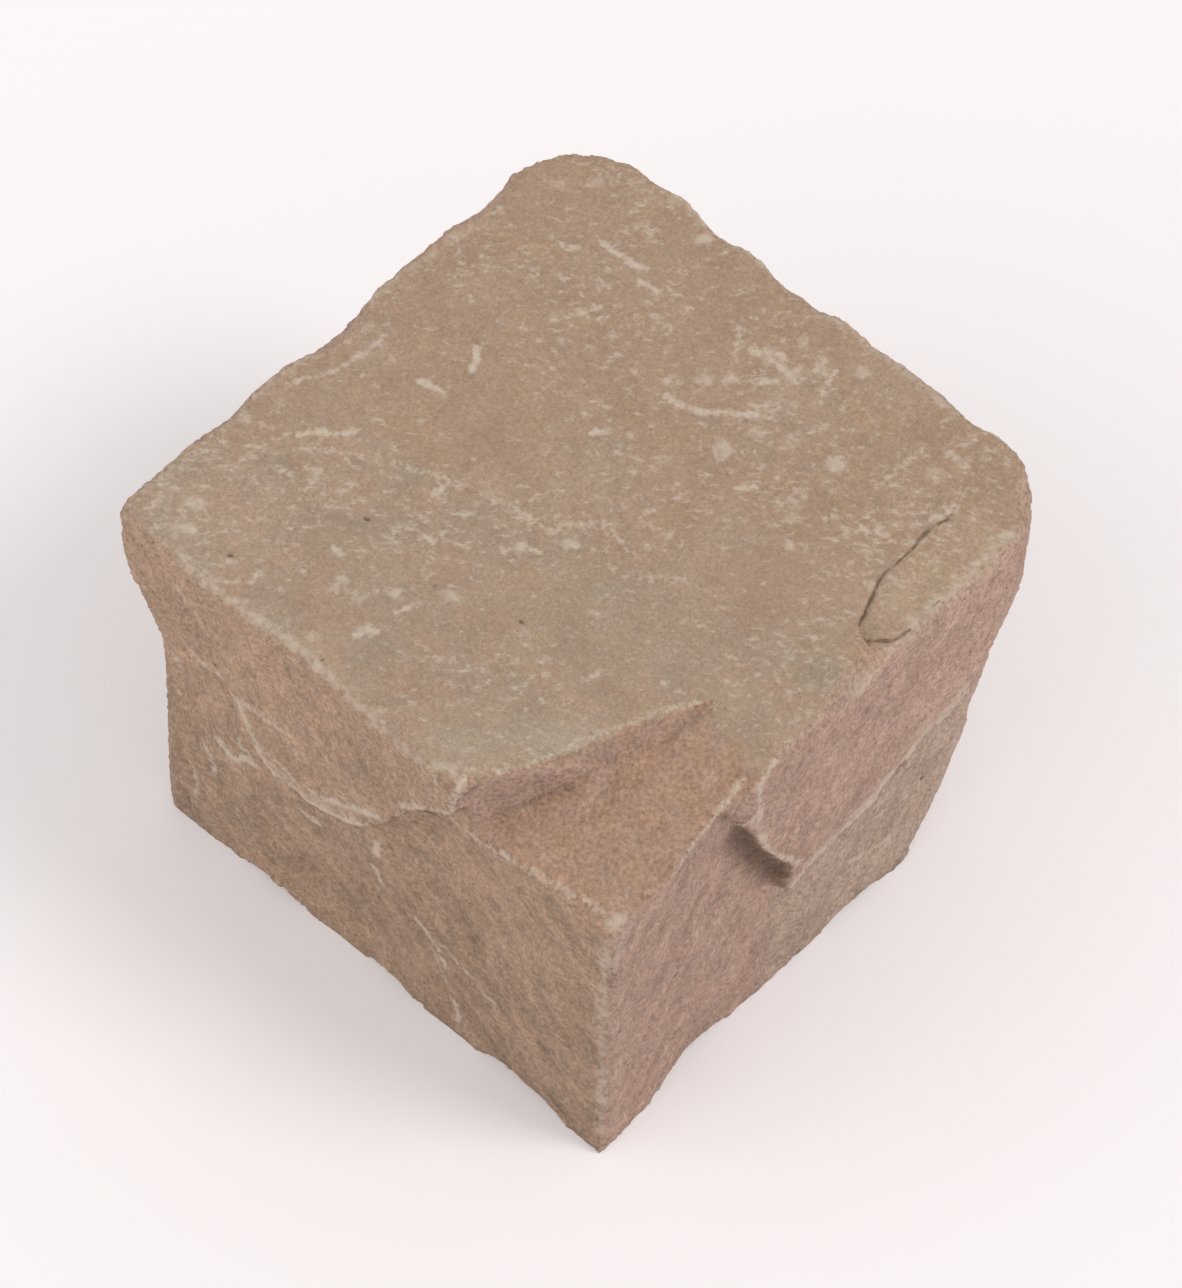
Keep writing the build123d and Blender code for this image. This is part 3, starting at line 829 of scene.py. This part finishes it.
    def thinned(self, mesh: bpy.types.Mesh, kept: np.ndarray) -> bpy.types.Object:
        """Thins the net where the stone is plain and makes the stone's own object.

        Args:
            mesh: The worked and painted mesh.
            kept: The numbers of the vertices that are kept as they are.

        Returns:
            The stone's object, still without a material.
        """
        block = bpy.data.objects.new("worked_block", mesh)
        bpy.context.scene.collection.objects.link(block)
        triangles = 2 * len(mesh.polygons)
        if triangles > self.most_triangles:
            group = block.vertex_groups.new(name="kept")
            group.add(kept.tolist(), 1.0, "REPLACE")
            thin = block.modifiers.new("fewer triangles", "DECIMATE")
            thin.ratio = self.most_triangles / triangles
            thin.use_collapse_triangulate = True
            thin.vertex_group = group.name
            thin.invert_vertex_group = True
            thin.vertex_group_factor = 1.0
        finished = self.evaluated(block)
        finished.name = STONE + "_stone"
        finished.shade_smooth()
        stone = bpy.data.objects.new("split_sett", finished)
        bpy.context.scene.collection.objects.link(stone)
        return stone

    def side_share(self) -> np.ndarray:
        """Says how far each vertex is on a split side rather than the tread or the bed."""
        upright = np.abs(self.skin.blurred(self.skin.normals, 6)[:, 2])
        return 1.0 - smooth_ramp(upright, 0.75, 0.93)

    def field(self, size: float, octaves: int, seed: float) -> np.ndarray:
        """Rounded noise at every vertex.

        Args:
            size: The width of its largest waves.
            octaves: How many finer layers it has.
            seed: A shift that makes it unlike the others.

        Returns:
            Heights of about -1 to 1.
        """
        places = (self.skin.rest / size + seed).tolist()
        return np.array([noise.fractal(place, 1.0, 2.0, octaves) for place in places])

    def broken_field(self, size: float, seed: float) -> np.ndarray:
        """Flat breaks that lean every way, as a hammer leaves them.

        Args:
            size: The width of one break.
            seed: A shift that makes them unlike the others.

        Returns:
            Heights of about -1 to 1.
        """
        warp = self.skin.blurred(self.field(size * 0.5, 2, seed + 3.0), 2)[:, 0]
        places = (self.skin.points / size + seed + 0.25 * warp[:, None]).tolist()
        heights = np.empty(len(places))
        middle = Vector((0.5, 0.5, 0.5))
        for index, place in enumerate(places):
            centre = noise.voronoi(place)[1][0]
            lean = noise.cell_vector(centre) - middle
            heights[index] = (Vector(place) - centre).dot(lean)
        return heights

    def bend_sides(self) -> None:
        """Gives the split sides their long waves and flat breaks, and the tread its riven waves."""
        skin = self.skin
        side = self.side_share()
        waves = self.field(*SIDE_WAVES) * self.swell * side
        waves += self.broken_field(self.facet_size, 5.1) * self.facet_size * self.facet_height * side
        waves += self.field(*TREAD_WAVES) * self.tread_swell * (1.0 - side)
        skin.push(waves - np.abs(waves).mean())
        skin.refresh()

    def chip_edges(self) -> None:
        """Knocks the rounds of chips off the sharpest edges."""
        skin = self.skin
        for strikes in self.rounds:
            draw = random.Random(strikes.seed)
            sharp = skin.sharpness(10)
            places = np.flatnonzero(sharp > np.quantile(sharp, self.blunt_share))
            order = list(places)
            draw.shuffle(order)
            chosen: list[int] = []
            for index in order:
                if len(chosen) == strikes.count:
                    break
                if chosen:
                    gaps = np.linalg.norm(skin.points[chosen] - skin.points[index], axis=1)
                    if gaps.min() < strikes.apart:
                        continue
                chosen.append(index)
            for index in chosen:
                spot = skin.points[index].copy()
                lean = np.array([draw.uniform(-strikes.lean, strikes.lean) for _ in range(3)])
                out = skin.normals[index] + lean
                out /= np.linalg.norm(out)
                skin.strike(spot, out, draw.uniform(*strikes.radius), draw.uniform(*strikes.bite))
            skin.refresh()

    def draw_marks(self) -> None:
        """Cuts the cracks and raises the thin ridges."""
        skin = self.skin
        heights = np.zeros(len(skin.points))
        for mark in MARKS:
            if mark.height:
                near, away = mark.near(skin.rest)
                heights[near] += mark.height * (1.0 - smooth_ramp(away, 0.0, mark.relief_reach))
        skin.push(heights)
        skin.refresh()

    def grain(self) -> np.ndarray:
        """Roughens the surface: slanting streaks on the sides, a fine grain all over.

        Returns:
            The streaks' own heights, of about -1 to 1.
        """
        skin = self.skin
        side = self.side_share()
        facing = np.abs(skin.blurred(skin.normals, 10))
        along_front = np.array([0.62, 0.0, -0.78])
        along_right = np.array([0.0, 0.45, 0.89])
        share = facing[:, :1] / (facing[:, :1] + facing[:, 1:2] + 1e-6)
        along = along_right * share + along_front * (1.0 - share)
        along /= np.linalg.norm(along, axis=1)[:, None]
        squeezed = skin.rest - along * (skin.rest * along).sum(axis=1)[:, None] * self.streak_draw
        places = (squeezed / self.streak_width).tolist()
        streaks = np.array([noise.fractal(place, 0.8, 2.0, 3) for place in places])
        fine = self.field(*FINE_GRAIN)
        skin.push(streaks * self.streak * side + fine * (self.grain_height + self.grain_height * side))
        skin.refresh()
        return streaks

    def seat(self) -> None:
        """Keeps the stone inside the part's box and lays its bed flat."""
        low, high = (np.array(corner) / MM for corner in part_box(STONE))
        bed = self.skin.points[:, 2] < low[2] + self.bed_band
        self.skin.points[bed, 2] = low[2]
        self.skin.points = np.clip(self.skin.points, low, high)
        self.skin.refresh()

    def paint(self, streaks: np.ndarray) -> np.ndarray:
        """Writes the ground colour, with its painted light and shade, the wear and the marks to the mesh as
        attributes.

        Args:
            streaks: Heights of the streaks on the sides.

        Returns:
            The numbers of the vertices that thin lines run over.
        """
        skin = self.skin
        fine = skin.sharpness(5)
        broad = skin.sharpness(24)
        wear = np.clip(smooth_ramp(fine, 0.06, 0.3) * 0.5 + smooth_ramp(broad, 0.2, 0.9) * 0.6, 0.0, 1.0)
        x, y, z = skin.rest.T
        right_corner = smooth_ramp(x + y, 10.0, 60.0)
        left_corner = smooth_ramp(x + y, -60.0, -90.0)
        near_corner = smooth_ramp(x - y, 14.0, 34.0)
        below_tread = smooth_ramp(z, 78.6, 76.5)
        busy = self.field(*BUSY_PATCHES) + 0.5 * right_corner
        busy += 0.45 * self.before_seam(x, y) + 0.25 * left_corner
        busy -= 0.6 * near_corner + 1.2 * below_tread
        busy += 1.5 * smooth_ramp(x, 42.0, 45.0) * smooth_ramp(z, 44.0, 38.0) * smooth_ramp(y, -8.0, 0.0)
        coarse = np.maximum(self.side_share(), 0.75 * smooth_ramp(z, 78.2, 76.0))
        self.write("wear", np.stack([wear, busy, coarse], axis=1))
        # The ground attribute holds the stone's colour with painted light and shade in it.
        self.write("ground", self.colour_with_painted_light(streaks, broad))
        marks = np.zeros((len(skin.points), 3))
        jitter = np.stack([self.field(2.4, 2, 20.0 + shift) for shift in range(3)], axis=1) * self.wander
        for mark in MARKS:
            near, away = mark.near(skin.rest + jitter)
            column = mark.look.column
            marks[near, column] = np.maximum(marks[near, column], mark.colour_share(away))
        self.write("marks", marks)
        return np.flatnonzero(marks[:, :2].max(axis=1) > self.kept_share)

    def seam(self, x: np.ndarray) -> np.ndarray:
        """Gives the y at each x where the greyer near part of the tread ends."""
        return np.interp(x, *zip(*SEAM))

    def before_seam(self, x: np.ndarray, y: np.ndarray) -> np.ndarray:
        """Says how far each place belongs to the greyer near part of the tread."""
        return smooth_ramp(self.seam(x) - y, -1.0, 3.0)

    def colour_with_painted_light(self, streaks: np.ndarray, broad: np.ndarray) -> np.ndarray:
        """Works out the stone's colour under its grain and flecks, with painted light and shade baked into
        it.

        Args:
            streaks: Heights of the streaks on the sides.
            broad: How far each vertex stands out from its wide surroundings.

        Returns:
            Linear red, green and blue for each vertex.
        """
        skin, finish = self.skin, self.finish
        facing = skin.blurred(skin.normals, 12)
        x, y, z = skin.rest.T
        level = smooth_ramp(facing[:, 2], 0.7, 0.9)
        tread = level * smooth_ramp(z, 76.8, 78.0)
        side = 1.0 - smooth_ramp(np.abs(facing[:, 2]), 0.35, 0.75)
        right = smooth_ramp(np.abs(facing[:, 0]), 0.4, 0.75)
        front = smooth_ramp(np.abs(facing[:, 1]), 0.4, 0.75)
        patchy = smooth_ramp(self.field(*GREY_PATCHES), -0.35, 0.25)
        facet = smooth_ramp(facing[:, 2], 0.3, 0.6) * (1.0 - tread) * smooth_ramp(z, 60.0, 63.0)
        facet *= smooth_ramp(x, 12.0, 20.0) * smooth_ramp(y, -6.0, -12.0)
        riser = smooth_ramp(-broad, 0.05, 0.5) * smooth_ramp(z, 68.0, 72.0) * smooth_ramp(x, 14.0, 20.0)
        riser *= smooth_ramp(y, -6.0, -14.0) * (1.0 - tread)
        ledge = np.interp(y, *zip(*RIGHT_LEDGE))
        foot = right * smooth_ramp(ledge - z, -0.5, 1.0) * smooth_ramp(x, 40.0, 44.0)
        foot *= smooth_ramp(y, -12.0, -6.0)

        beyond_seam = smooth_ramp(y - self.seam(x), 0.0, 4.0)
        rosy = smooth_ramp(self.field(*ROSY_PATCHES) + 0.35 * beyond_seam, -0.2, 0.4)
        colour = self.blend(np.array(finish.tan[:3]), finish.pink, rosy)
        colour = self.blend(colour, finish.grey, tread * self.before_seam(x, y) * patchy)
        colour = self.blend(colour, finish.brown, front * 0.9)
        colour = self.blend(colour, finish.purple, right * 0.9)
        colour = self.blend(colour, finish.foot, foot * 0.9)
        colour = self.blend(colour, finish.rusty, np.maximum(facet, riser) * 0.9)
        # Stains of the stone's own, and the painted shadow in the notch.
        for stain_or_shade in self.stains_and_painted_shade:
            colour = self.blend(colour, stain_or_shade.colour, stain_or_shade.share_at(skin.rest))
        mottle = self.field(*MOTTLE)
        light = 1.0 + mottle * (0.07 + 0.06 * side + 0.07 * facet) + streaks * 0.17 * side * (1.0 - facet)
        light += self.field(*TREAD_LIGHT) * 0.06 * tread
        # Random lighter and darker patches on the sides, and a painted highlight on their convex parts.
        light += self.field(*SIDE_LIGHT) * 0.1 * side + 0.1 * smooth_ramp(broad, 0.1, 0.8) * side
        # Painted shade in hollows, and a darker riser: partly its own colour, partly painted shade.
        light -= 0.22 * smooth_ramp(-broad, 0.15, 1.1) + 0.24 * riser
        # Painted shade at the foot and near end of the front; painted light at the far end of the right
        # side, painted shade at its near end.
        painted_shade_low_front, painted_shade_near_front = smooth_ramp(z, 50.0, 25.0), smooth_ramp(x, -16.0, 16.0)
        painted_light_far_right, painted_shade_near_right = smooth_ramp(y, 14.0, 34.0), smooth_ramp(y, -14.0, -26.0)
        light -= front * (0.1 * painted_shade_low_front + 0.07 * painted_shade_near_front)
        light += right * (0.1 * painted_light_far_right - 0.05 * painted_shade_near_right)
        warmth = self.field(*WARMTH) * (1.0 + 1.5 * facet)
        warm = 1.0 + warmth[:, None] * np.array([0.02, -0.005, -0.04])
        return colour * light[:, None] * warm

    def blend(self, first: np.ndarray, second: Colour, share: np.ndarray) -> np.ndarray:
        """Mixes a colour into one colour or into a colour for each vertex."""
        return first + (np.array(second[:3]) - first) * share[:, None]

    def write(self, name: str, columns: np.ndarray) -> None:
        """Writes three columns to the mesh as one vector attribute.

        Args:
            name: The attribute's name.
            columns: One row of three numbers for each vertex.
        """
        attribute = self.skin.mesh.attributes.new(name, "FLOAT_VECTOR", "POINT")
        attribute.data.foreach_set("vector", columns.astype(np.float32).ravel())


@dataclass(frozen=True)
class PaleFloor:
    """The pale ground that the stone stands on.

    Attributes:
        half_width: Half the floor's width, in metres.
        colour: The floor's own colour.
        lift: How much of plain white the camera sees added to it.
    """

    half_width: float = 6.0
    colour: tuple[float, ...] = linear(238, 232, 233)
    lift: float = 0.16

    def build(self) -> bpy.types.Object:
        """Makes the floor.

        Returns:
            The floor's object, which isn't part of the stone.
        """
        work = bmesh.new()
        bmesh.ops.create_grid(work, x_segments=8, y_segments=8, size=self.half_width)
        mesh = bpy.data.meshes.new("pale_floor")
        work.to_mesh(mesh)
        work.free()
        floor = bpy.data.objects.new("pale_floor", mesh)
        bpy.context.scene.collection.objects.link(floor)
        mesh.materials.append(self.material())
        return floor

    def material(self) -> bpy.types.Material:
        """Makes the floor's material, which keeps shadows and is close to white for the camera."""
        pale = bpy.data.materials.new("pale floor")
        pale.use_nodes = True
        draft = Draft(pale.node_tree)
        ray = draft.node("ShaderNodeLightPath").outputs
        seen = draft.math("MAXIMUM", ray["Is Camera Ray"], ray["Is Glossy Ray"])
        matt = draft.node("ShaderNodeBsdfDiffuse", {"Color": self.colour})
        lift = draft.node("ShaderNodeEmission", {"Strength": draft.math("MULTIPLY", seen, self.lift)})
        both = draft.node("ShaderNodeAddShader", {0: matt.outputs[0], 1: lift.outputs[0]})
        draft.node("ShaderNodeOutputMaterial", {0: both.outputs[0]})
        return pale


@dataclass(frozen=True)
class Lamp:
    """One broad lamp, as far off as the sky.

    Attributes:
        name: Its name.
        toward: The direction from the stone to the lamp.
        strength: How bright it is.
        spread: How wide it looks from the stone, in degrees.
        colour: The colour of its light.
    """

    name: str
    toward: Point
    strength: float
    spread: float
    colour: tuple[float, float, float] = (1.0, 0.99, 0.98)

    def build(self) -> None:
        """Makes the lamp."""
        lamp = bpy.data.lights.new(self.name, "SUN")
        lamp.energy = self.strength
        lamp.angle = math.radians(self.spread)
        lamp.color = self.colour
        holder = bpy.data.objects.new(self.name, lamp)
        holder.rotation_euler = Vector(self.toward).to_track_quat("Z", "Y").to_euler()
        bpy.context.scene.collection.objects.link(holder)


@dataclass(frozen=True)
class StudioLight:
    """Plain soft light: a bright room, a lamp high on the right and a very broad one in front on the left.

    Attributes:
        room: Strength of the light that comes from all round.
        lamps: The lamps.
    """

    room: float = 0.62
    lamps: tuple[Lamp, ...] = (
        Lamp("lamp on the right", (0.56, 0.3, 0.77), 0.98, 22.0),
        Lamp("lamp on the left", (-0.25, -0.75, 0.6), 0.55, 60.0),
    )

    def build(self) -> None:
        """Makes the room's light and the lamps."""
        world = bpy.data.worlds.new("bright room")
        bpy.context.scene.world = world
        world.use_nodes = True
        draft = Draft(world.node_tree)
        ray = draft.node("ShaderNodeLightPath").outputs
        seen = draft.math("MAXIMUM", ray["Is Camera Ray"], draft.math("MAXIMUM", ray["Is Glossy Ray"],
                                                                    ray["Is Transmission Ray"]))
        strength = draft.ramp(seen, 0.0, 1.0, self.room, 1.0)
        glow = draft.node("ShaderNodeBackground", {"Color": (1.0, 1.0, 1.0, 1.0), "Strength": strength})
        draft.node("ShaderNodeOutputWorld", {0: glow.outputs[0]})
        for lamp in self.lamps:
            lamp.build()


@dataclass(frozen=True)
class StoneCamera:
    """The camera, where it stood for the photograph, turned to the stone and zoomed in on it.

    Attributes:
        place: Where the camera stands.
        aim: The point of the stone in the middle of the picture.
        lens: Focal length.
        film: Length of the picture's longer side on the film.
        roll: How far the camera is turned about its own axis, in degrees.
        nearest: The least distance that it sees, in metres.
        farthest: The greatest distance that it sees, in metres.
    """

    place: tuple[float, float, float] = (752.055, -799.178, 1726.4)
    aim: tuple[float, float, float] = (-0.745, 0.822, 38.0)
    lens: float = 360.0
    film: float = 36.0
    roll: float = 0.4
    nearest: float = 0.05
    farthest: float = 50.0

    def build(self) -> bpy.types.Object:
        """Makes the camera and has the scene use it.

        Returns:
            The camera's object.
        """
        data = bpy.data.cameras.new("stone camera")
        data.lens = self.lens
        data.sensor_width = self.film
        data.sensor_fit = "AUTO"
        data.clip_start = self.nearest
        data.clip_end = self.farthest
        camera = bpy.data.objects.new("stone camera", data)
        place = Vector(self.place) * MM
        look = (Vector(self.aim) * MM - place).to_track_quat("-Z", "Y").to_matrix().to_4x4()
        turn = Matrix.Rotation(math.radians(self.roll), 4, "Z")
        camera.matrix_world = Matrix.Translation(place) @ look @ turn
        bpy.context.scene.collection.objects.link(camera)
        bpy.context.scene.camera = camera
        return camera


def main() -> None:
    """Builds the camera, the light, the floor and the stone."""
    logging.basicConfig(level=logging.INFO, format="%(name)s: %(message)s")
    bpy.context.scene.view_settings.view_transform = "Standard"
    StoneCamera().build()
    StudioLight().build()
    PaleFloor().build()
    SplitSett().build()


if __name__ == "__main__":
    main()
